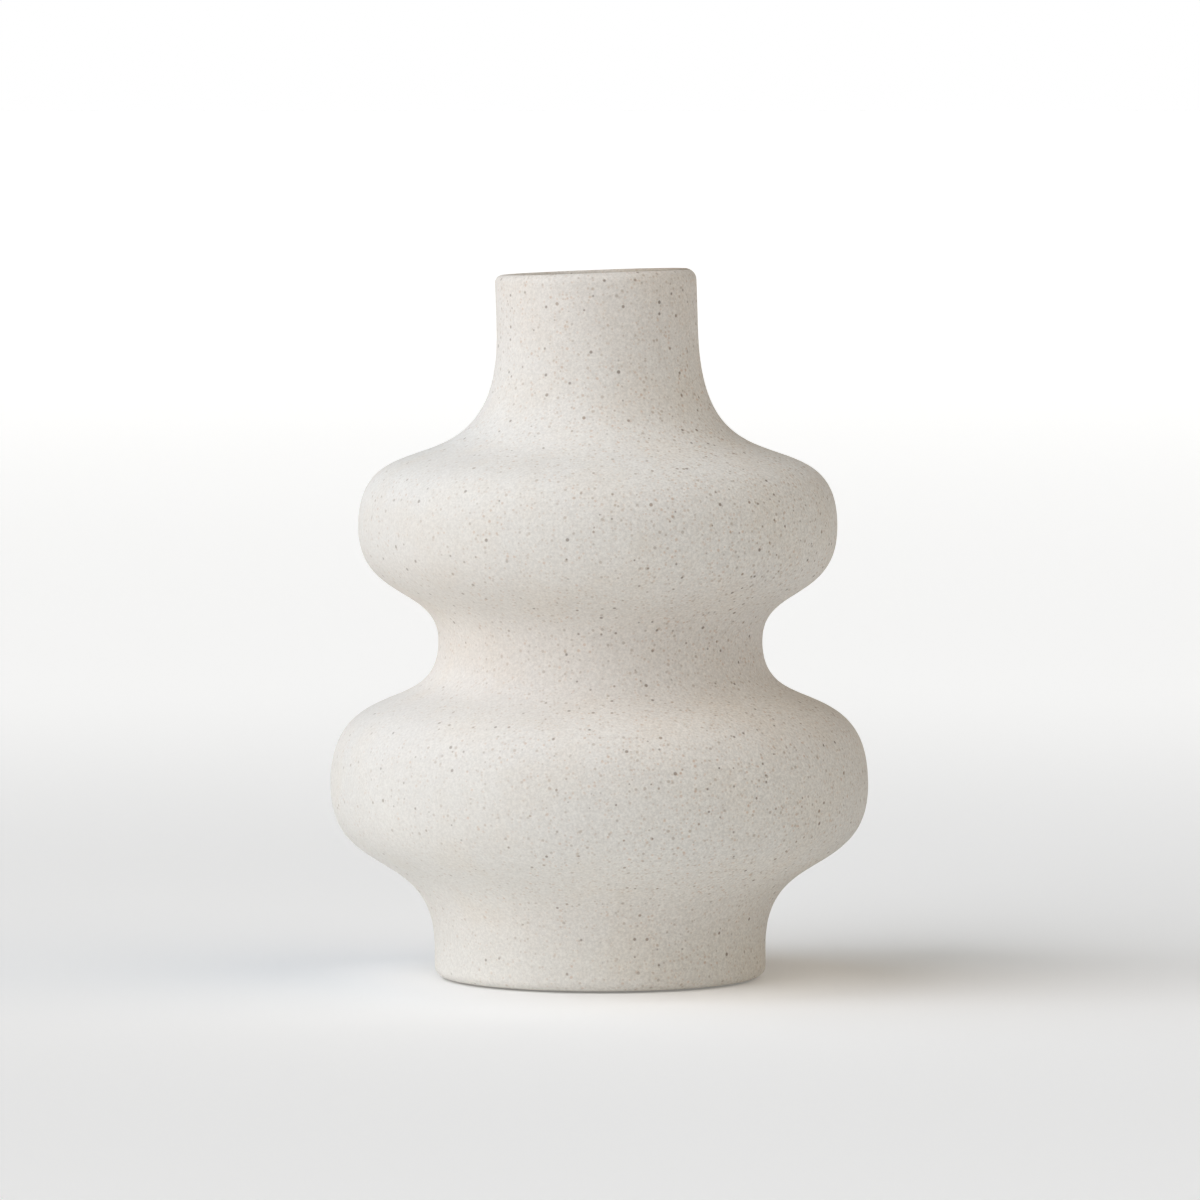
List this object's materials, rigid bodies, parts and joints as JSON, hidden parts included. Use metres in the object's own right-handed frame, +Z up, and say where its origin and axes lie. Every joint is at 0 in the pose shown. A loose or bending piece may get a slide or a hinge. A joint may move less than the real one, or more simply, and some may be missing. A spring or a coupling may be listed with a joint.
{
  "type": "stoneware vase",
  "caption": "Round free-standing stoneware vase with two soft bulges, a straight neck and open mouth, glazed inside, on anti-slip pads.",
  "frame": {"origin": "centre of the vase's footprint, on the surface it stands on", "axes": "+Z up the vase's axis, +X to the right and +Y away from the viewer; the rim dips towards -X"},
  "size_m": [0.1524, 0.1524, 0.201],
  "materials": {
    "stoneware": "matte",
    "liner_glaze": "gloss",
    "silicone": "satin"
  },
  "bodies": {
    "root": {"stoneware_body": "stoneware", "inner_glaze": "liner_glaze", "pad_1": "silicone", "pad_2": "silicone", "pad_3": "silicone", "pad_4": "silicone"}
  },
  "joints": []
}
